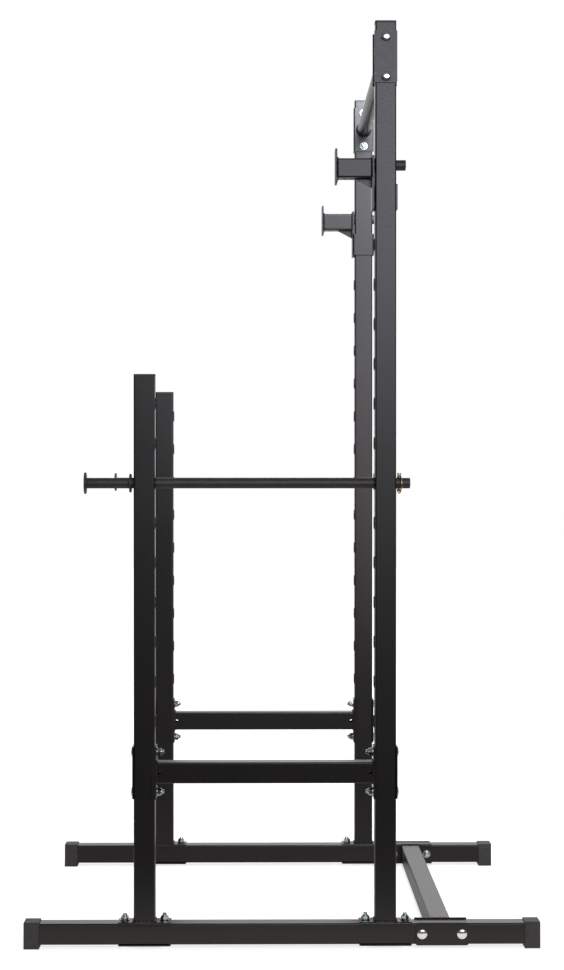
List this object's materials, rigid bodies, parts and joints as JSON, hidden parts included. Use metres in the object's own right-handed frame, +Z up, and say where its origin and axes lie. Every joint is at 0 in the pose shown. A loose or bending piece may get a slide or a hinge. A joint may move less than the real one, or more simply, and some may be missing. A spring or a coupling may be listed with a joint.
{
  "type": "squat rack",
  "caption": "Half rack of square steel tube: short front posts and tall uprights on floor skids, with J-hooks, safety bars and a pull-up bar.",
  "frame": {"origin": "on the floor, midway along the skids and midway between the two sides", "axes": "+X from the front posts to the tall uprights, +Y to the left side, +Z up"},
  "size_m": [1.218, 1.1162, 2.188],
  "materials": {
    "black_powder_coat": "satin",
    "black_plastic": "matte",
    "bright_zinc": "bright zinc plated",
    "yellow_zinc": "yellow zinc plated"
  },
  "bodies": {
    "frame": {"base_skid_left": "black_powder_coat", "base_skid_right": "black_powder_coat", "cross_beam_left_bolt_front": "bright_zinc", "cross_beam_left_bolt_rear": "bright_zinc", "cross_beam_left_plate": "black_powder_coat", "cross_beam_right_bolt_front": "bright_zinc", "cross_beam_right_bolt_rear": "bright_zinc", "cross_beam_right_plate": "black_powder_coat", "foot_cap_front_left": "black_plastic", "foot_cap_front_right": "black_plastic", "foot_cap_rear_left": "black_plastic", "foot_cap_rear_right": "black_plastic", "front_post_bolt_plate_left": "bright_zinc", "front_post_bolt_plate_right": "bright_zinc", "front_post_cap_left": "black_plastic", "front_post_cap_right": "black_plastic", "front_post_left": "black_powder_coat", "front_post_right": "black_powder_coat", "pull_up_bar": "black_powder_coat", "pull_up_left_bolt_lower": "bright_zinc", "pull_up_left_bolt_upper": "bright_zinc", "pull_up_left_plate": "black_powder_coat", "pull_up_right_bolt_lower": "bright_zinc", "pull_up_right_bolt_upper": "bright_zinc", "pull_up_right_plate": "black_powder_coat", "rear_cross_beam": "black_powder_coat", "side_beam_front_left_bolt_lower": "bright_zinc", "side_beam_front_left_bolt_upper": "bright_zinc", "side_beam_front_left_plate": "black_powder_coat", "side_beam_front_right_bolt_lower": "bright_zinc", "side_beam_front_right_bolt_upper": "bright_zinc", "side_beam_front_right_plate": "black_powder_coat", "side_beam_left": "black_powder_coat", "side_beam_rear_left_bolt_lower": "bright_zinc", "side_beam_rear_left_bolt_upper": "bright_zinc", "side_beam_rear_left_plate": "black_powder_coat", "side_beam_rear_right_bolt_lower": "bright_zinc", "side_beam_rear_right_bolt_upper": "bright_zinc", "side_beam_rear_right_plate": "black_powder_coat", "side_beam_right": "black_powder_coat", "tall_upright_bolt_plate_left": "bright_zinc", "tall_upright_bolt_plate_right": "bright_zinc", "tall_upright_cap_left": "black_plastic", "tall_upright_cap_right": "black_plastic", "tall_upright_left": "black_powder_coat", "tall_upright_right": "black_powder_coat"},
    "j_hook_right": {"j_hook_right": "black_powder_coat"},
    "safety_bar_right": {"safety_bar_right": "black_powder_coat"},
    "lynch_pin_right": {"lynch_pin_right": "yellow_zinc"},
    "lynch_ring_right": {"lynch_ring_right": "yellow_zinc"},
    "j_hook_left": {"j_hook_left": "black_powder_coat"},
    "safety_bar_left": {"safety_bar_left": "black_powder_coat"},
    "lynch_pin_left": {"lynch_pin_left": "yellow_zinc"},
    "lynch_ring_left": {"lynch_ring_left": "yellow_zinc"}
  },
  "joints": [
    {"name": "j_hook_right_turn", "type": "hinge", "parent": "frame", "child": "j_hook_right", "pos_m": [0.244, -0.525, 1.85], "axis": [1, 0, 0], "range_deg": [0, 110]},
    {"name": "safety_bar_right_roll", "type": "hinge", "parent": "frame", "child": "safety_bar_right", "pos_m": [0, -0.525, 1.098], "axis": [1, 0, 0], "continuous": true},
    {"name": "lynch_pin_right_lift", "type": "slide", "parent": "safety_bar_right", "child": "lynch_pin_right", "axis": [0, 0, 1], "range_m": [0, 0.007]},
    {"name": "lynch_ring_right_flip", "type": "hinge", "parent": "lynch_pin_right", "child": "lynch_ring_right", "pos_m": [0.2775, -0.525, 1.1175], "axis": [0, -1, 0], "range_deg": [0, 170]},
    {"name": "j_hook_left_turn", "type": "hinge", "parent": "frame", "child": "j_hook_left", "pos_m": [0.244, 0.525, 1.85], "axis": [-1, 0, 0], "range_deg": [0, 110]},
    {"name": "safety_bar_left_roll", "type": "hinge", "parent": "frame", "child": "safety_bar_left", "pos_m": [0, 0.525, 1.098], "axis": [1, 0, 0], "continuous": true},
    {"name": "lynch_pin_left_lift", "type": "slide", "parent": "safety_bar_left", "child": "lynch_pin_left", "axis": [0, 0, 1], "range_m": [0, 0.007]},
    {"name": "lynch_ring_left_flip", "type": "hinge", "parent": "lynch_pin_left", "child": "lynch_ring_left", "pos_m": [0.2775, 0.525, 1.1175], "axis": [0, -1, 0], "range_deg": [0, 170]}
  ]
}
